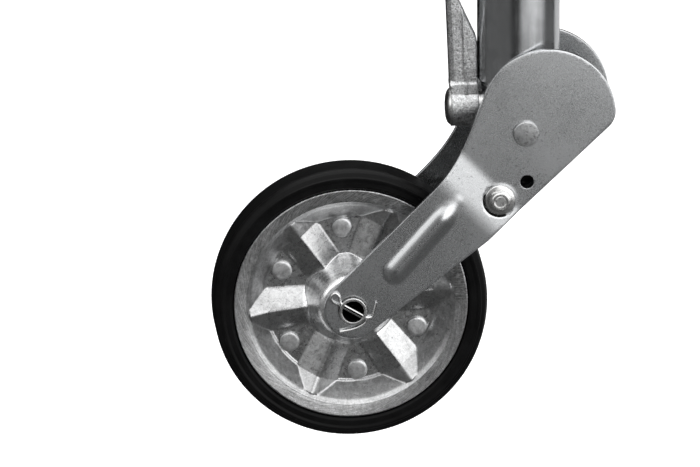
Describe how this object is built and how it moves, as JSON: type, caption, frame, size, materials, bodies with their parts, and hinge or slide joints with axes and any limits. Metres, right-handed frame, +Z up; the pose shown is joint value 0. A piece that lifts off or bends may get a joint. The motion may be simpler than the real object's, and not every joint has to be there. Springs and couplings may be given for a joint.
{
  "type": "folding jockey wheel",
  "caption": "Screw-jack trailer jockey wheel: clamping tube, cranked screw, sliding inner tube, lock lever, folding fork and rubber-tyred pressed steel wheel.",
  "frame": {"origin": "on the leg's axis, at mid-length of the plain shank that a drawbar clamp grips", "axes": "+Z up the leg towards the crank, +X away from the wheel, Y along the axle and the fork pivot"},
  "size_m": [0.359, 0.083, 0.778],
  "materials": {
    "galvanised": "galvanised tube, satin",
    "fork_steel": "zinc plated pressing, fine satin",
    "rim_steel": "bright galvanised pressing",
    "zinc": "bright zinc plate",
    "bearing_steel": "ground and greased",
    "forged_steel": "rough forging",
    "brass": "machined",
    "black_plastic": "moulded, fine grain",
    "nylon": "moulded",
    "tyre": "moulded solid rubber"
  },
  "bodies": {
    "leg": {"outer_tube": "galvanised", "clamp_boss": "zinc", "head_plug": "galvanised", "thrust_race_upper": "bearing_steel", "thrust_balls": "bearing_steel"},
    "lock": {"lock_lever": "forged_steel", "lock_screw": "zinc", "lock_washer": "zinc", "pressure_pad": "brass"},
    "crank": {"spindle": "bearing_steel", "spindle_stop": "bearing_steel", "spindle_stop_pin": "bearing_steel", "head_washer": "zinc", "crank_arm": "zinc", "crank_pin": "bearing_steel", "grip_pin": "zinc", "grip_washer": "zinc", "thrust_race_lower": "bearing_steel"},
    "grip": {"grip": "black_plastic"},
    "slider": {"inner_tube": "galvanised", "spindle_nut": "brass", "guide_ring": "nylon", "foot_plug": "black_plastic", "pivot_sleeve": "zinc"},
    "fork": {"fork_plate_right": "fork_steel", "fork_plate_left": "fork_steel", "pivot_rivet": "fork_steel", "cross_bolt": "zinc", "flange_nut": "zinc", "bolt_spacer": "zinc", "axle_tube": "zinc", "axle_washers": "zinc", "split_pin_right": "zinc", "split_pin_left": "zinc"},
    "wheel": {"rim_right": "rim_steel", "rim_left": "rim_steel", "rim_rivets": "rim_steel", "hub_tube": "zinc", "hub_bushes": "nylon", "tyre": "tyre"}
  },
  "joints": [
    {"name": "crank_turn", "type": "hinge", "parent": "leg", "child": "crank", "pos_m": [0, 0, 0], "axis": [0, 0, -1], "range_deg": [0, 18000]},
    {"name": "lift", "type": "slide", "parent": "leg", "child": "slider", "axis": [0, 0, -1], "range_m": [0, 0.2]},
    {"name": "fork_fold", "type": "hinge", "parent": "slider", "child": "fork", "pos_m": [0.003, 0, -0.28], "axis": [0, 1, 0], "range_deg": [0, 46]},
    {"name": "wheel_spin", "type": "hinge", "parent": "fork", "child": "wheel", "pos_m": [-0.123, 0, -0.41], "axis": [0, 1, 0], "continuous": true},
    {"name": "lock_turn", "type": "hinge", "parent": "leg", "child": "lock", "pos_m": [-0.04, 0, -0.2674], "axis": [-1, 0, 0], "range_deg": [0, 45]},
    {"name": "grip_spin", "type": "hinge", "parent": "crank", "child": "grip", "pos_m": [0.12, 0, 0.2], "axis": [0, 0, 1], "continuous": true}
  ],
  "couplings": [
    {"joint": "lift", "follows": "crank_turn", "m_per_rad": 0.00063662}
  ]
}
